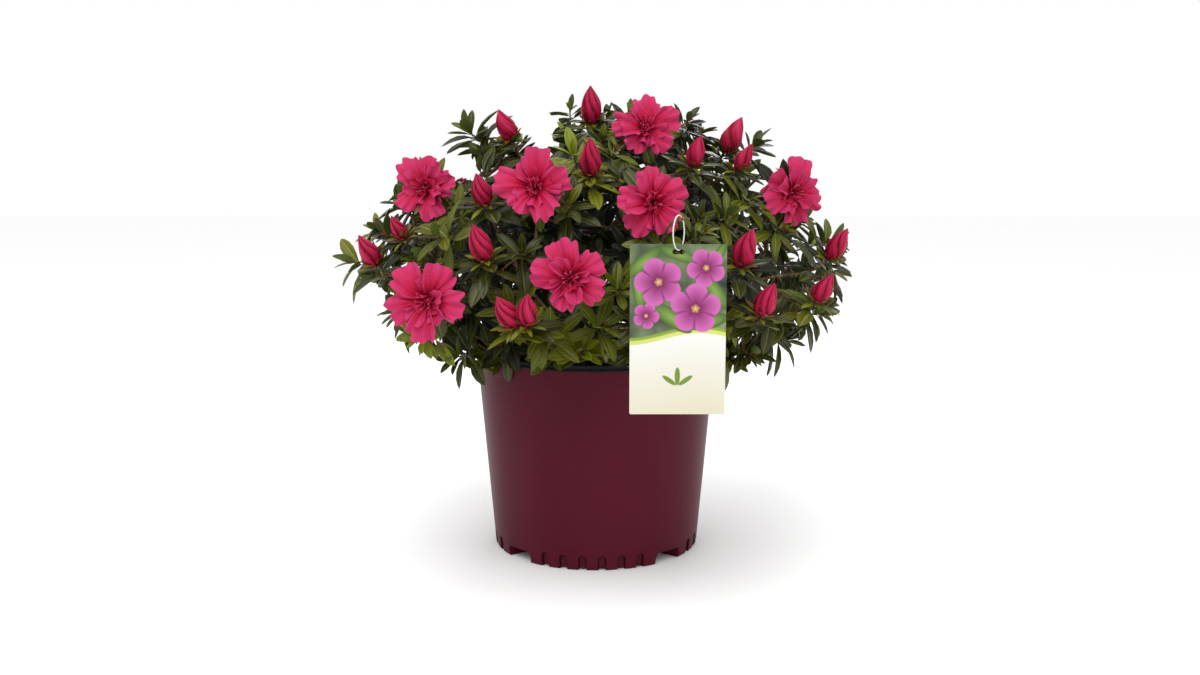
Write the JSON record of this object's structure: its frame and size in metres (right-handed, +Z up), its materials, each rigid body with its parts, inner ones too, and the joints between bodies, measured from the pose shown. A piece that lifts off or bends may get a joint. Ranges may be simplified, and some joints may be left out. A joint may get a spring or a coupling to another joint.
{
  "type": "potted azalea shrub in bloom",
  "caption": "Rounded evergreen azalea shrub with double pink flowers and pointed buds, growing in a round nursery pot with a plain hang tag on a loop.",
  "frame": {"origin": "middle of the pot's flat underside", "axes": "+Z up along the pot's axis; -Y is the front, where the hang tag is; +X is to the right seen from the front"},
  "size_m": [0.6072, 0.6215, 0.541],
  "materials": {
    "pot_plastic": "satin burgundy",
    "rim_plastic": "satin black",
    "potting_mix": "loose bark mix",
    "bark": "thin rough bark",
    "foliage": "leathery leaves",
    "petals": "soft petals",
    "tag_card": "printed plastic card",
    "tag_loop": "clear white"
  },
  "bodies": {
    "root": {"pot": "pot_plastic", "pot_rim": "rim_plastic", "potting_mix": "potting_mix", "tag": "tag_card", "tag_loop": "tag_loop", "trunk": "bark", "bough_front_right": "bark", "bough_back_right": "bark", "bough_back": "bark", "bough_back_left": "bark", "bough_front_left": "bark", "branch_front_right_upper": "bark", "branch_front_right_lower_1": "bark", "branch_front_right_lower_2": "bark", "branch_back_right_upper": "bark", "branch_back_right_lower_1": "bark", "branch_back_right_lower_2": "bark", "branch_back_upper": "bark", "branch_back_lower_1": "bark", "branch_back_lower_2": "bark", "branch_back_left_upper": "bark", "branch_back_left_lower_1": "bark", "branch_back_left_lower_2": "bark", "branch_front_left_upper": "bark", "branch_front_left_lower_1": "bark", "branch_front_left_lower_2": "bark", "leader": "bark", "foliage_front_right_upper": "foliage", "foliage_front_right_lower_1": "foliage", "foliage_front_right_lower_2": "foliage", "foliage_back_right_upper": "foliage", "foliage_back_right_lower_1": "foliage", "foliage_back_right_lower_2": "foliage", "foliage_back_upper": "foliage", "foliage_back_lower_1": "foliage", "foliage_back_lower_2": "foliage", "foliage_back_left_upper": "foliage", "foliage_back_left_lower_1": "foliage", "foliage_back_left_lower_2": "foliage", "foliage_front_left_upper": "foliage", "foliage_front_left_lower_1": "foliage", "foliage_front_left_lower_2": "foliage", "foliage_top": "foliage"}
  },
  "joints": []
}
